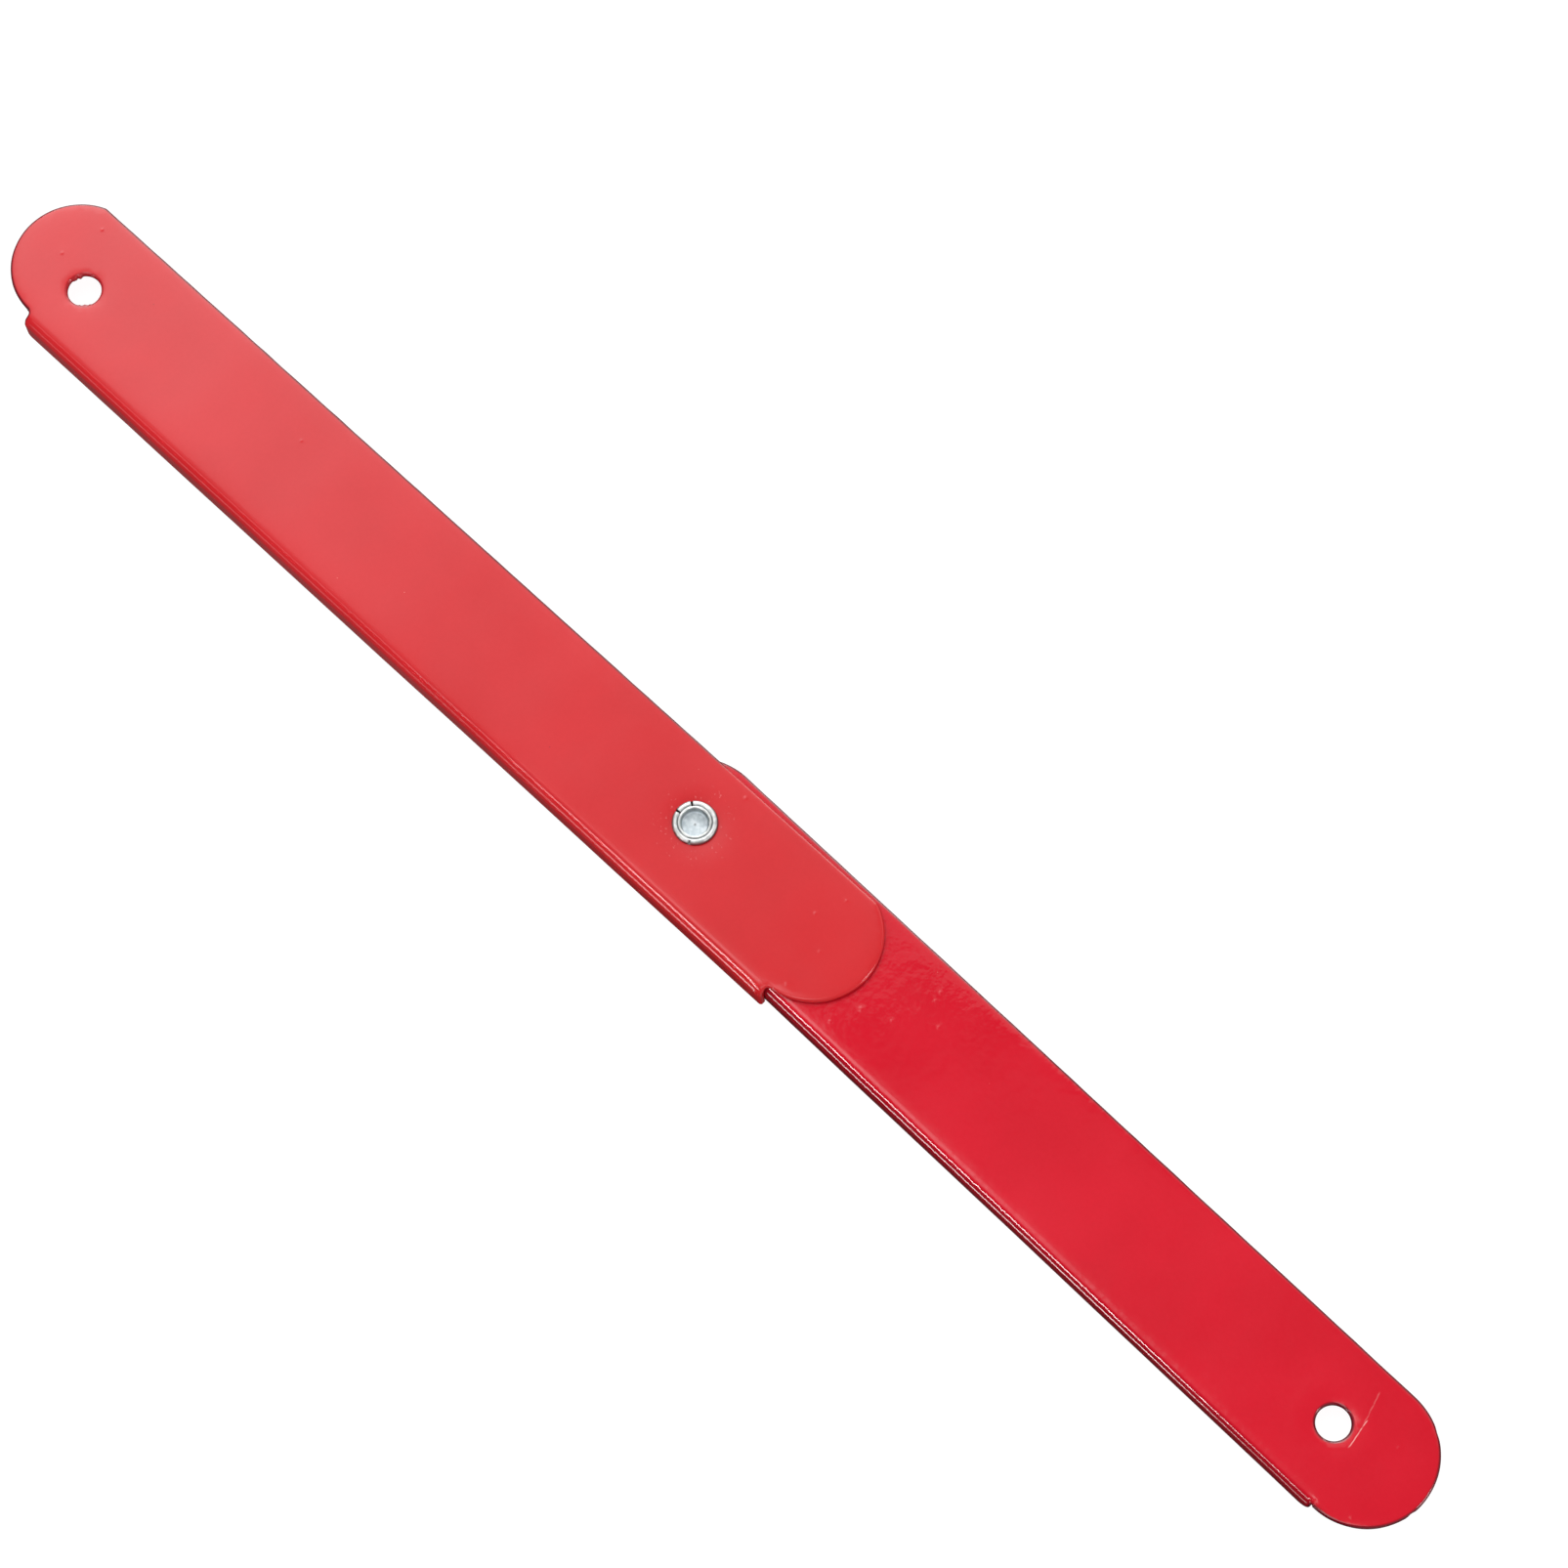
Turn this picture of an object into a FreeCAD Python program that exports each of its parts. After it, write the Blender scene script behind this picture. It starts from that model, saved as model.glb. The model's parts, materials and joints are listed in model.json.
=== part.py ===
import FreeCAD, Part
import math
import os
import re
import Sketcher

# Folding spreader brace: two flanged steel links that overlap and turn on one rivet.
# Millimetres, +Z up. The origin is in the outer link's end hole, on the link's top face. The
# rivet and the inner link's end hole are towards +X. Both flanges are on the -Y side and hang down.
# Each piece is drawn about the rivet's axis and takes its place from its Placement.

# Driving dimensions. Each one is a cell of the spreadsheet.
DRIVING = {
    "sheet": 1.5,                # steel sheet
    "bend_inside": 1.2,          # inside radius of the bend between web and flange
    "web_gap": 0.2,              # between the two webs, where they lie on each other
    "side_gap": 0.52,            # between the two flanges, where they nest
    "inner_half": 15.2,          # rivet's axis to the inner link's free edge, and its round ends
    "inner_flange": 15.5,        # rivet's axis to the inner link's flange
    "outer_free_edge": 13.5,     # rivet's axis to the outer link's free edge
    "outer_drop": 8.2,           # outer link's top face to its flange's lower edge
    "tab_radius": 14.65,         # outer link's two round ends
    "far_tab": 185.35,           # rivet's axis to the middle of the outer link's far tab
    "lap_tab": 34.05,            # rivet's axis to the middle of the tab over the inner link
    "outer_flange_far": 184.8,   # rivet's axis to the outer flange's far end
    "outer_flange_near": 34.9,   # rivet's axis to the outer flange's near end
    "outer_reach": 180.0,        # rivet's axis to the outer link's end hole, along X
    "outer_offset": 3.3,         # the same, towards the flange
    "inner_tab": 186.2,          # rivet's axis to the middle of the inner link's far tab
    "inner_flange_far": 185.7,   # rivet's axis to the inner flange's far end
    "inner_flange_near": 1.0,    # rivet's axis to the inner flange's near end
    "inner_reach": 178.0,        # rivet's axis to the inner link's end hole
    "end_hole": 3.8,             # radius of both end holes, for a 7 mm bolt or rivet
    "flange_corner": 1.5,        # rounding of the flanges' lower corners
    "past_centre": 0.82,         # the open links stand this many degrees past straight
    "shank": 3.15,               # radius of the rivet's shank
    "fixed_clearance": 0.02,     # shank in the outer link, which it is clinched to
    "running_clearance": 0.08,   # shank in the inner link, which turns on it
    "end_play": 0.1,             # inner link to the rivet's head
    "head": 6.0,                 # radius of the rivet's head, under the inner link
    "head_rim": 0.4,             # straight edge of the head
    "head_dome": 1.8,            # dome of the head
    "clinch": 4.85,              # radius of the rolled end
    "clinch_edge": 0.4,          # rounding under the roll
    "clinch_roll": 0.72,         # rounding over the roll
    "mouth": 2.95,               # radius of the rivet's open mouth
    "mouth_level": 0.85,         # outer link's top face to the mouth
    "ridge_width": 0.7,          # ridge round the mouth
    "ridge_round": 0.4,          # its rounding
    "bowl": 2.6,                 # radius of the bowl at the foot of its wall
    "bowl_level": 0.05,          # outer link's top face to the foot of the wall
    "bowl_depth": 0.95,          # outer link's top face down to the middle of the bowl
    "split_width": 0.4,          # splits in the roll
    "split_start": 3.3,          # radius where a full split starts
    "nick_start": 4.2,           # radius where the short split starts
}

# Sizes worked out from the driving dimensions, as spreadsheet formulas.
DERIVED = {
    "bend_outside": "=sheet + bend_inside",
    "outer_flange": "=inner_flange + side_gap + sheet",
    "outer_bend": "=outer_flange - bend_outside",
    "inner_bend": "=inner_flange - bend_outside",
    "inner_level": "=sheet + web_gap",
    "inner_drop": "=outer_drop - inner_level",
    "tab_offset": "=outer_bend - tab_radius",
    "tab_chord": "=sqrt(tab_radius ^ 2 - (outer_free_edge + tab_offset) ^ 2)",
    "tail_edge": "=sqrt(inner_half ^ 2 - inner_flange_near ^ 2)",
    "head_seat": "=inner_level + sheet + end_play",
    "dome_round": "=(head ^ 2 + head_dome ^ 2) / (2 * head_dome)",
}

# Splits in the rivet's roll: name, degrees round from +X, and the radius where the split starts.
SPLITS = (
    ("upper_split", 142, "split_start"),
    ("lower_split", 189, "split_start"),
    ("nick", 299, "nick_start"),
)

# Sketcher's numbers for a curve's two ends and its centre.
START, END, CENTRE = 1, 2, 3

# Lengths closer than this are the same, in millimetres.
SAME = 1e-6

UP = FreeCAD.Vector(0, 0, 1)

doc = FreeCAD.newDocument("spreader_brace")
dims = doc.addObject("Spreadsheet::Sheet", "Dims")


def fill_sheet():
    """Give each dimension a row: its name, its value and the name as an alias."""
    rows = {**DRIVING, **DERIVED}
    for row, (name, value) in enumerate(rows.items(), start=1):
        dims.set(f"A{row}", name)
        dims.set(f"B{row}", str(value))
        dims.setAlias(f"B{row}", name)
    doc.recompute()


def formula(text):
    """Expression over the spreadsheet: each word of the text that is an alias gets its sheet's name."""
    aliases = {**DRIVING, **DERIVED}
    return re.sub(r"[a-z_]+", lambda word: f"Dims.{word[0]}" if word[0] in aliases else word[0], text)


def new_body(name):
    body = doc.addObject("PartDesign::Body", name)
    body.Label = name
    return body


def new_sketch(body, name, plane_role, turn=0.0):
    """Sketch on one of the body's own origin planes, turned in that plane by some degrees."""
    sketch = body.newObject("Sketcher::SketchObject", name)
    plane = next(plane for plane in body.Origin.OriginFeatures if plane.Role == plane_role)
    sketch.AttachmentSupport = (plane, "")
    sketch.MapMode = "FlatFace"
    sketch.AttachmentOffset = FreeCAD.Placement(FreeCAD.Vector(), FreeCAD.Rotation(UP, turn))
    return sketch


def bind(sketch, kind, where, text):
    """Add a dimension to the sketch and tie it to a formula over the spreadsheet."""
    value = float(sketch.evalExpression(formula(text)))
    index = sketch.addConstraint(Sketcher.Constraint(kind, *where, value))
    sketch.setExpression(f"Constraints[{index}]", formula(text))


def minor_arc(first, last, radius):
    """Circle arc from first to last with its centre on the right, or on the left if radius < 0."""
    chord = last - first
    height = math.sqrt(radius ** 2 - (chord.Length / 2) ** 2)
    to_right = FreeCAD.Vector(chord.y, -chord.x, 0).normalize()
    centre = (first + last) / 2 + to_right * math.copysign(height, radius)
    ends = (last, first) if radius > 0 else (first, last)
    angles = [math.atan2(point.y - centre.y, point.x - centre.x) for point in ends]
    return Part.ArcOfCircle(Part.Circle(centre, UP, abs(radius)), *angles)


def outline(sketch, corners):
    """Closed outline, clockwise. A corner is (x, y), or (x, y, radius) where an arc leaves it.

    All entries are formulas. A radius that starts with a minus makes a hollow arc.
    """
    points = [FreeCAD.Vector(*(float(sketch.evalExpression(formula(text))) for text in corner[:2]))
              for corner in corners]
    ends = []
    for index, corner in enumerate(corners):
        first = points[index]
        last = points[(index + 1) % len(points)]
        if len(corner) == 2:
            curve = sketch.addGeometry(Part.LineSegment(first, last))
            ends.append(((curve, START), (curve, END)))
            continue
        radius = float(sketch.evalExpression(formula(corner[2])))
        curve = sketch.addGeometry(minor_arc(first, last, radius))
        bind(sketch, "Radius", (curve,), corner[2].lstrip("-"))
        order = (END, START) if radius > 0 else (START, END)
        ends.append(((curve, order[0]), (curve, order[1])))
    for index, corner in enumerate(corners):
        leaves = ends[index][0]
        arrives = ends[index - 1][1]
        sketch.addConstraint(Sketcher.Constraint("Coincident", *arrives, *leaves))
        bind(sketch, "DistanceX", leaves, corner[0])
        bind(sketch, "DistanceY", leaves, corner[1])


def circle(sketch, x, y, radius):
    """Circle given by three formulas."""
    centre = [float(sketch.evalExpression(formula(text))) for text in (x, y)]
    start_size = float(sketch.evalExpression(formula(radius)))
    curve = sketch.addGeometry(Part.Circle(FreeCAD.Vector(*centre), UP, start_size))
    bind(sketch, "DistanceX", (curve, CENTRE), x)
    bind(sketch, "DistanceY", (curve, CENTRE), y)
    bind(sketch, "Radius", (curve,), radius)


def pad(body, sketch, name, length, down=False):
    feature = body.newObject("PartDesign::Pad", name)
    feature.Profile = sketch
    feature.setExpression("Length", formula(length))
    feature.Reversed = down
    doc.recompute()
    return feature


def pocket_through(body, sketch, name, up=False):
    """Cut the sketch right through, downwards unless up is set, and prove that it cut something."""
    before = body.Shape.Volume
    feature = body.newObject("PartDesign::Pocket", name)
    feature.Profile = sketch
    feature.Type = "ThroughAll"
    feature.Reversed = up
    doc.recompute()
    if body.Shape.Volume >= before:
        raise RuntimeError(f"{body.Label}: {name} cuts nothing")


def round_flange_corners(body):
    """Round the flange's two lower corners, whose edges cross the sheet along Y."""
    base = body.Tip
    lowest = base.Shape.BoundBox.ZMin

    def is_corner(edge):
        box = edge.BoundBox
        return max(box.XLength, box.ZLength) < SAME and abs(box.ZMin - lowest) < SAME

    names = [f"Edge{number}" for number, edge in enumerate(base.Shape.Edges, start=1) if is_corner(edge)]
    feature = body.newObject("PartDesign::Fillet", "flange_corners")
    feature.Base = (base, names)
    feature.setExpression("Radius", formula("flange_corner"))
    doc.recompute()


def add_flange(body, side, bend, drop, near, far):
    """Bend and flange: an L-shaped section from near to far along X. All entries are formulas."""
    section = new_sketch(body, "flange_section", "YZ_Plane")
    inside = f"-{side} + sheet"
    outline(section, [
        (f"-{bend}", "0"),
        (f"-{bend}", "-sheet", "-bend_inside"),
        (inside, "-bend_outside"),
        (inside, f"-{drop}"),
        (f"-{side}", f"-{drop}"),
        (f"-{side}", "-bend_outside", "bend_outside"),
    ])
    section.setExpression("AttachmentOffset.Base.z", formula(near))
    pad(body, section, "flange", f"{far} - ({near})")


def drill(body, pivot_clearance, reach, offset):
    """Pivot hole on the rivet's axis, and the end hole at (reach, offset)."""
    holes = new_sketch(body, "hole_circles", "XY_Plane")
    circle(holes, "0", "0", f"shank + {pivot_clearance}")
    circle(holes, reach, offset, "end_hole")
    pocket_through(body, holes, "holes")


def place(body, level, turn="0"):
    """Move the body from the rivet's axis to the frame's origin, and turn it about the rivet."""
    body.Placement.Rotation.Axis = UP
    body.setExpression("Placement.Base.x", formula("outer_reach"))
    body.setExpression("Placement.Base.y", formula("outer_offset"))
    body.setExpression("Placement.Base.z", formula(level))
    body.setExpression("Placement.Rotation.Angle", formula(turn))


def make_outer_link():
    """Upper link: its web is cut off straight along the free edge, and has a round tab at each end."""
    body = new_body("outer_link")
    web = new_sketch(body, "web_outline", "XY_Plane")
    outline(web, [
        ("-far_tab - tab_chord", "outer_free_edge"),
        ("lap_tab + tab_chord", "outer_free_edge", "tab_radius"),
        ("lap_tab", "-outer_bend"),
        ("-far_tab", "-outer_bend", "tab_radius"),
    ])
    pad(body, web, "web", "sheet", down=True)
    add_flange(body, "outer_flange", "outer_bend", "outer_drop", "-outer_flange_far", "outer_flange_near")
    round_flange_corners(body)
    drill(body, "fixed_clearance", "-outer_reach", "-outer_offset")
    place(body, "0")
    return body


def make_inner_link():
    """Lower link: full round ends as wide as the strip, one of them about the rivet's axis."""
    body = new_body("inner_link")
    web = new_sketch(body, "web_outline", "XY_Plane")
    outline(web, [
        ("0", "inner_half"),
        ("inner_tab", "inner_half", "inner_half"),
        ("inner_tab + inner_half", "0", "inner_half"),
        ("inner_tab", "-inner_half"),
        ("inner_flange_far", "-inner_half"),
        ("inner_flange_far", "-inner_bend"),
        ("inner_flange_near", "-inner_bend"),
        ("inner_flange_near", "-tail_edge", "inner_half"),
        ("-inner_half", "0", "inner_half"),
    ])
    pad(body, web, "web", "sheet", down=True)
    add_flange(body, "inner_flange", "inner_bend", "inner_drop", "inner_flange_near", "inner_flange_far")
    round_flange_corners(body)
    drill(body, "running_clearance", "inner_reach", "0")
    place(body, "-inner_level", turn="-past_centre")
    return body


def cut_split(body, name, angle, start):
    """Slot through the rivet's roll, from the outer link's top face upwards."""
    slot = new_sketch(body, f"{name}_outline", "XY_Plane", turn=angle)
    outline(slot, [
        (start, "split_width / 2"),
        ("clinch + split_width", "split_width / 2"),
        ("clinch + split_width", "-split_width / 2"),
        (start, "-split_width / 2"),
    ])
    pocket_through(body, slot, name, up=True)


def make_rivet():
    """Semi-tubular rivet: domed head below, rolled and split end above with an open bowl."""
    body = new_body("pivot_rivet")
    section = new_sketch(body, "rivet_section", "XZ_Plane")
    outline(section, [
        ("0", "-bowl_depth"),
        ("bowl", "bowl_level"),
        ("mouth", "mouth_level", "ridge_round"),
        ("mouth + ridge_width", "mouth_level", "clinch_roll"),
        ("clinch", "clinch_edge", "clinch_edge"),
        ("clinch - clinch_edge", "0"),
        ("shank", "0"),
        ("shank", "-head_seat"),
        ("head", "-head_seat"),
        ("head", "-head_seat - head_rim", "dome_round"),
        ("0", "-head_seat - head_rim - head_dome"),
    ])
    turned = body.newObject("PartDesign::Revolution", "turned")
    turned.Profile = section
    turned.ReferenceAxis = (section, ["V_Axis"])
    turned.Angle = 360
    doc.recompute()
    for name, angle, start in SPLITS:
        cut_split(body, name, angle, start)
    place(body, "0")
    return body


def check_document(bodies):
    """Stop if any object failed or any sub-part isn't one valid solid."""
    doc.recompute()
    failed = [thing.Name for thing in doc.Objects if {"Invalid", "Error"} & set(thing.State)]
    if failed:
        raise RuntimeError(f"failed objects: {failed}")
    for body in bodies:
        shape = body.Shape
        if shape.isNull() or not shape.isValid() or len(shape.Solids) != 1:
            raise RuntimeError(f"{body.Label} isn't one valid solid")


def export(bodies):
    os.makedirs("parts", exist_ok=True)
    for body in bodies:
        body.Shape.exportStep(os.path.join("parts", f"{body.Label}.step"))


fill_sheet()
links_and_rivet = [make_outer_link(), make_inner_link(), make_rivet()]
check_document(links_and_rivet)
export(links_and_rivet)
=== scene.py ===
import json
import math
from collections import namedtuple

import bpy
import numpy as np
from mathutils import Matrix, Quaternion, Vector
from mathutils.geometry import delaunay_2d_cdt


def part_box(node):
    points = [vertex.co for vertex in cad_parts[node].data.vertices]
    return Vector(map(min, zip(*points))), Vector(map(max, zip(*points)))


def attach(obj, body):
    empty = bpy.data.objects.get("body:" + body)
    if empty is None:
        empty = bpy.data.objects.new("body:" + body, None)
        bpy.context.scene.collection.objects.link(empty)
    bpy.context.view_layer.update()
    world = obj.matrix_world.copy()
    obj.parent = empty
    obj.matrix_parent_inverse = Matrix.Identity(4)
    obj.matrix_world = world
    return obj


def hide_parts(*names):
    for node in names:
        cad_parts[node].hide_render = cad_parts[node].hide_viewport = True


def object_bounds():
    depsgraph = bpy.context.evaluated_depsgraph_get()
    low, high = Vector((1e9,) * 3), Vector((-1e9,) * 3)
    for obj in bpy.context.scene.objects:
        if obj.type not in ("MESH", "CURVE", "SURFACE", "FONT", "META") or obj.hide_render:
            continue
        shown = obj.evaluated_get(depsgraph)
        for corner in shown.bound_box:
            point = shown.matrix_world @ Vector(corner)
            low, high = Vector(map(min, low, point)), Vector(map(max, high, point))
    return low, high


# Folding spreader brace: two enamelled links and a zinc-plated rivet.
# Each mesh is drawn in millimetres about the rivet's axis, with the web's top face at height 0,
# and is then put into the frame in metres.

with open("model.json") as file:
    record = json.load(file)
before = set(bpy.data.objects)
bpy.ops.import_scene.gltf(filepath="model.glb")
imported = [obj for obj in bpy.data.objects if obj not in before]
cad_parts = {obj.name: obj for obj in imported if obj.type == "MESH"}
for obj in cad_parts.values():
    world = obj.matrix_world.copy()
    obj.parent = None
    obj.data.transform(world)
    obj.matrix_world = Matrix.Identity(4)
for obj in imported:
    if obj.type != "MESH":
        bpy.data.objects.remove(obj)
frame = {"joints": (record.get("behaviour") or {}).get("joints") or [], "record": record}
cad_low, cad_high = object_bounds()

MM = 0.001
mounts = {mount["name"]: mount for mount in frame["record"]["mounts"]}
rivet_place = Vector(frame["joints"][0]["pos_m"])
rivet_place.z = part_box("outer_link")[1].z


def from_rivet(point):
    """Millimetres from the rivet's axis to a point of the frame."""
    return (Vector(point) - rivet_place) / MM


outer_low, outer_high = map(from_rivet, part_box("outer_link"))
inner_low, inner_high = map(from_rivet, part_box("inner_link"))
rivet_low, rivet_high = map(from_rivet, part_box("pivot_rivet"))
outer_hole = from_rivet(mounts["outer_end_hole"]["pos_m"])
inner_hole = from_rivet(mounts["inner_end_hole"]["pos_m"])
inner_turn = math.atan2(inner_hole.y, inner_hole.x)
inner_reach = inner_hole.xy.length
SHEET = mounts["outer_end_hole"]["dims"]["length_mm"]
END_HOLE = mounts["outer_end_hole"]["dims"]["r_mm"]

# Link shapes, millimetres, with arcs' ends in degrees.
BEND = 2.7                # outside radius of the bend between web and flange
BEND_LENGTH = BEND * math.pi / 2
TAB = 14.65               # radius of the outer link's round ends
TAB_CORNER = 1.3          # where a round end meets the free edge
TAB_STOP = 268            # where the far round end meets its notch
NOTCH = 1.2               # hollow where a round end meets the flange
FLANGE_CORNER = 1.5       # lower corners of the flanges
OUTER_FLANGE_NEAR = 34.9  # ends of the outer flange, from the rivet along the link
OUTER_FLANGE_FAR = -184.8
FLANGE_SPUR = 0.5         # how far the outer flange's near corner juts out
SPUR_TIP = 0.85           # radius of that corner
SPUR_STOP = 372           # where that corner meets the flange's end, which leans inwards
INNER_HALF = 15.2         # rivet's axis to the inner link's free edge, and its round ends
INNER_TAB_START = -89.6   # where the inner link's round ends meet their notches
INNER_LAP_STOP = 271.5
INNER_FLANGE = 15.5       # rivet's axis to the inner link's flange
INNER_FLANGE_NEAR = 1.0   # ends of the inner flange, from the rivet along the link
INNER_FLANGE_FAR = 185.7
INNER_NOTCH = 0.6
PIVOT_HOLE = 3.2
OUTER_RUN = 0.12          # how far the enamel runs into each end hole
INNER_RUN = 0.20

# Mesh fineness, millimetres unless said otherwise.
LINE_SPACING = 1.6
ARC_SPACING = 0.6
ARC_STEP = 7.5            # degrees
GRID = 1.3
EDGE_GAP = 0.4 * GRID     # room between the grid and the edges' points
BEND_ROWS = 9
EDGE_STEPS = 4
HOLE_POINTS = 120
ONE_POINT = 1e-6          # points of an outline closer than this are one
ONE_CORNER = 1e-7         # the same for the triangles' corners
CHUNK = 500               # points measured at a time, to save memory

# Rounding of the painted edges: how far in and how far down it reaches.
TOP_EDGE = (0.65, 0.5)
LOWER_EDGE = (0.4, 0.4)

# How deep and how far in the shears pull the top face down, and the same along the bend.
DRAW = (0.09, 1.3)
CROWN = (0.10, 2.4)

# Wander of the sheared edges: how far, in waves of what length, and the seed.
OUTER_WANDER = (0.09, 14, 11)
INNER_WANDER = (0.08, 16, 12)

# Nicks in the inner link's round end: place from its middle, size and depth.
INNER_NICKS = (((14.8, -2.6), 0.7, 0.22), ((8.0, 13.0), 1.2, 0.12))

# Waves of the pressed strips: length and height of each, how far they swing round, the room kept
# for them inside the CAD box, and each link's seed.
WAVES = ((120, 0.025), (61, 0.015), (33, 0.008), (17, 0.004))
WAVE_SWING = 0.5          # radians
WAVE_ROOM = 0.055
OUTER_WAVES = 21
INNER_WAVES = 22

# Border between the bent stretch and a flat round end: its half width along the link, and the
# places across the link between which the bent sheet gives way to the flat one.
FLAT_ALONG = 0.5
FLAT_ACROSS = (-INNER_HALF - 0.6, -INNER_HALF + 0.1)

# Burrs in the outer link's end hole: direction and half width in degrees, and height.
BURRS = ((152, 7, 0.5), (168, 5, 0.35), (176, 4, 0.25), (318, 9, 0.4), (300, 5, 0.22), (335, 4, 0.2))

# Rings that are pressed into the webs round the holes: depth, radius and width. A swelling's
# depth is below 0.
CLINCH_DENT = (0.10, 4.5, 2.2)
OUTER_SWELL = (-0.03, END_HOLE, 1.2)
INNER_DENT = (0.08, END_HOLE, 1.4)
INNER_SWELL = (-0.03, 2 * END_HOLE, 1.5)

# Paint nibs: x, y from the rivet along the link, radius and height.
OUTER_NIBS = (
    (31.4, 3.0, 0.45, 0.06), (37.6, -2.3, 0.4, 0.05), (34.2, 9.4, 0.4, 0.05), (37.4, -12.0, 0.45, 0.06),
    (3.8, 11.3, 0.5, 0.07), (-187.5, 9.2, 0.45, 0.06), (-189.8, -0.6, 0.5, 0.05), (-120.5, 4.2, 0.4, 0.05),
)
INNER_NIBS = (
    (52.0, -4.2, 0.8, 0.10), (49.2, -10.6, 0.45, 0.08), (61.2, 9.6, 0.5, 0.07), (61.6, 7.6, 0.4, 0.06),
    (58.2, -1.7, 0.4, 0.05), (66.0, 4.0, 0.5, 0.06), (190.5, 5.2, 0.45, 0.05), (193.0, -11.5, 0.45, 0.06),
)
NIB_RINGS = (0.25, 0.6, 1, 1.5)   # rings of points round a nib, in its radii
NIB_RING_STOP = 330               # degrees, short of a full turn, so that no point comes twice
NIB_GAP = 0.5                     # room between those rings and the grid
NIB_SPREAD = 0.6                  # how far out a nib's bump reaches, in its radii


# ---------------------------------------------------------------------------------------------
# Outlines

def arc_points(x, y, radius, start, stop):
    """Points along an arc from start to stop, in degrees."""
    turn = abs(stop - start)
    count = max(math.ceil(turn / ARC_STEP), math.ceil(math.radians(turn) * radius / ARC_SPACING))
    angles = np.radians(np.linspace(start, stop, count + 1))
    return np.column_stack((x + radius * np.cos(angles), y + radius * np.sin(angles)))


def closed_loop(arcs):
    """Points round an outline made of arcs in order, joined by straight lines."""
    pieces = [arc_points(*arc) for arc in arcs]
    points = []
    for piece, following in zip(pieces, pieces[1:] + pieces[:1]):
        points.append(piece)
        gap = np.linalg.norm(following[0] - piece[-1])
        shares = np.linspace(0, 1, math.ceil(gap / LINE_SPACING) + 1)[1:-1]
        points.append(piece[-1] + shares[:, None] * (following[0] - piece[-1]))
    points = np.concatenate(points)
    step = np.linalg.norm(points - np.roll(points, 1, axis=0), axis=1)
    return points[step > ONE_POINT]


def outward(points):
    """Unit normals of a loop that has its material on the left."""
    along = np.roll(points, -1, axis=0) - np.roll(points, 1, axis=0)
    along /= np.linalg.norm(along, axis=1)[:, None]
    return np.column_stack((along[:, 1], -along[:, 0]))


def rim(points, wander):
    """An edge of the sheet: its loop, its normals, and how far each point is cut back."""
    return points, outward(points), wander


def round_hole(x, y, radius, burrs=()):
    """Clockwise circle. A burr is (degrees, half width in degrees, height) and stands into the hole."""
    angles = np.linspace(360, 0, HOLE_POINTS, endpoint=False)
    burr = np.zeros(HOLE_POINTS)
    for place, spread, height in burrs:
        away = (angles - place + 180) % 360 - 180
        burr += height * np.exp(-(away / spread) ** 2)
    turn = np.radians(angles)
    return rim(np.column_stack((x + radius * np.cos(turn), y + radius * np.sin(turn))), -burr)


def sheared(points, height, wavelength, seed, nicks=()):
    """An outline whose edge wanders inwards by up to a height. A nick is (place, size, depth)."""
    random = np.random.default_rng(seed)
    step = np.linalg.norm(np.roll(points, -1, axis=0) - points, axis=1)
    place = np.concatenate(([0], np.cumsum(step)[:-1])) / step.sum()
    wander = np.zeros(len(points))
    cycles = int(step.sum() / wavelength)
    for cycle in range(cycles // 2, 2 * cycles):
        phase = random.uniform(0, 2 * math.pi)
        wander += random.uniform(-1, 1) * np.cos(2 * math.pi * cycle * place + phase)
    wander = height * (1 + wander / np.abs(wander).max()) / 2
    for place, size, depth in nicks:
        away = np.linalg.norm(points - place, axis=1)
        wander += depth * np.exp(-(away / size) ** 2)
    return rim(points, wander)


def inside(points, loop):
    """Which points are inside a closed loop."""
    x, y = points[:, 0][:, None], points[:, 1][:, None]
    ax, ay = loop[:, 0], loop[:, 1]
    bx, by = np.roll(ax, -1), np.roll(ay, -1)
    spans = (ay > y) != (by > y)
    with np.errstate(divide="ignore", invalid="ignore"):
        crossing = (bx - ax) * (y - ay) / (by - ay) + ax
    return (spans & (x < crossing)).sum(axis=1) % 2 == 1


def in_sheet(points, loops):
    """Which points are inside the first loop and outside the others."""
    keep = inside(points, loops[0])
    for hole in loops[1:]:
        keep &= ~inside(points, hole)
    return keep


def nearest(points, others):
    """Distance from each point to the nearest of the others."""
    result = np.empty(len(points))
    for first in range(0, len(points), CHUNK):
        part = points[first:first + CHUNK]
        gaps = part[:, None, :] - others[None, :, :]
        result[first:first + CHUNK] = np.sqrt((gaps ** 2).sum(axis=2)).min(axis=1)
    return result


# ---------------------------------------------------------------------------------------------
# Links

def smooth(low, high, value):
    """0 below low, 1 above high, with an easy curve between."""
    share = np.clip((value - low) / (high - low), 0, 1)
    return share * share * (3 - 2 * share)


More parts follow.
